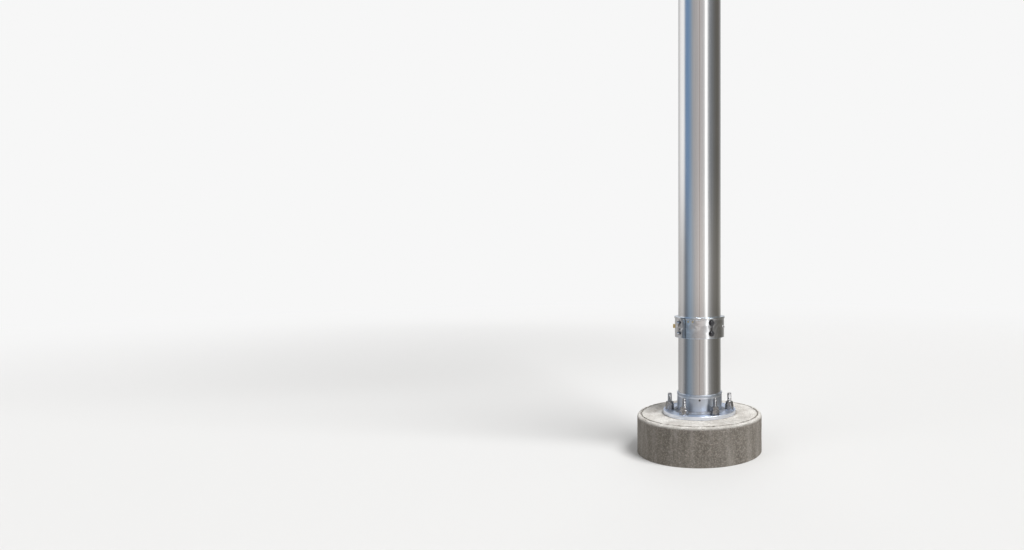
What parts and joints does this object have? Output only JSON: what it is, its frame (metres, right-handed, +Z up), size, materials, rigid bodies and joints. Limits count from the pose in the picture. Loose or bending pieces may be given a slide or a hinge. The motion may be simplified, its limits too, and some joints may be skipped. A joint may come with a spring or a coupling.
{
  "type": "flagpole",
  "caption": "Tapered aluminium flagpole on a bolted round footing, with clamp collar, cleat, halyard, truck, ball finial and a striped national flag that hoists and lowers.",
  "frame": {"origin": "middle of the round footing's underside, at ground level", "axes": "+Z up the pole; the flag flies towards +X; the front of the clamp collar faces -Y"},
  "size_m": [2.2329, 0.3829, 7.8098],
  "materials": {
    "brushed_aluminium": "fine vertical brushing, satin",
    "collar_aluminium": "turned and satin",
    "cast_aluminium": "cast, lightly tumbled",
    "truck_aluminium": "cast, dark bronze anodised",
    "gold_anodised": "spun, gold anodised",
    "galvanised_steel": "zinc coated",
    "stainless_steel": "bright stainless",
    "brass": "dull brass",
    "bronze": "reddish bronze, dulled outdoors",
    "nylon_sheave": "black nylon",
    "concrete": "trowelled, tooled rim, pitted",
    "rope": "braided polyester",
    "dark_beads": "black plastic",
    "canton_blue": "woven, matt",
    "stripe_red": "woven, matt",
    "stripe_white": "woven, matt",
    "header_canvas": "canvas, matt"
  },
  "bodies": {
    "pole": {"footing": "concrete", "base_flange": "brushed_aluminium", "sleeve_set_screw": "stainless_steel", "anchor_washers": "galvanised_steel", "anchor_nuts": "galvanised_steel", "anchor_lock_nuts": "galvanised_steel", "pole_shaft": "brushed_aluminium", "clamp_collar_front": "collar_aluminium", "clamp_collar_rear": "collar_aluminium", "clamp_cap_screws": "stainless_steel", "clamp_bolts": "stainless_steel", "collar_rivets": "brass", "ground_bolt": "brass", "collar_tell_tale": "stainless_steel", "cleat": "cast_aluminium", "cleat_screws": "stainless_steel", "halyard": "rope", "sheave_axle": "stainless_steel", "truck_cap": "truck_aluminium", "truck_set_screws": "stainless_steel", "finial_neck": "gold_anodised", "finial_spindle": "stainless_steel", "finial_ball": "gold_anodised", "anchor_stud_1": "galvanised_steel", "anchor_stud_2": "galvanised_steel", "anchor_stud_3": "galvanised_steel", "anchor_stud_4": "galvanised_steel", "anchor_stud_5": "galvanised_steel", "anchor_stud_6": "galvanised_steel"},
    "flag_set": {"flag_canton": "canton_blue", "flag_red_stripes": "stripe_red", "flag_white_stripes": "stripe_white", "flag_header": "header_canvas", "flag_grommets": "brass", "snap_hook_upper": "bronze", "snap_hook_lower": "bronze", "snap_eyes": "bronze", "retainer_cable_upper": "stainless_steel", "retainer_cable_lower": "stainless_steel", "retainer_beads_upper": "dark_beads", "retainer_beads_lower": "dark_beads", "halyard_knots": "rope"},
    "halyard_sheave": {"sheave": "nylon_sheave"}
  },
  "joints": [
    {"name": "flag_hoist", "type": "slide", "parent": "pole", "child": "flag_set", "axis": [0, 0, -1], "range_m": [0, 4]},
    {"name": "sheave_spin", "type": "hinge", "parent": "pole", "child": "halyard_sheave", "pos_m": [0.072, 0, 7.614], "axis": [1, 0, 0], "continuous": true}
  ],
  "couplings": [
    {"joint": "sheave_spin", "follows": "flag_hoist", "rad_per_m": 45.455}
  ]
}
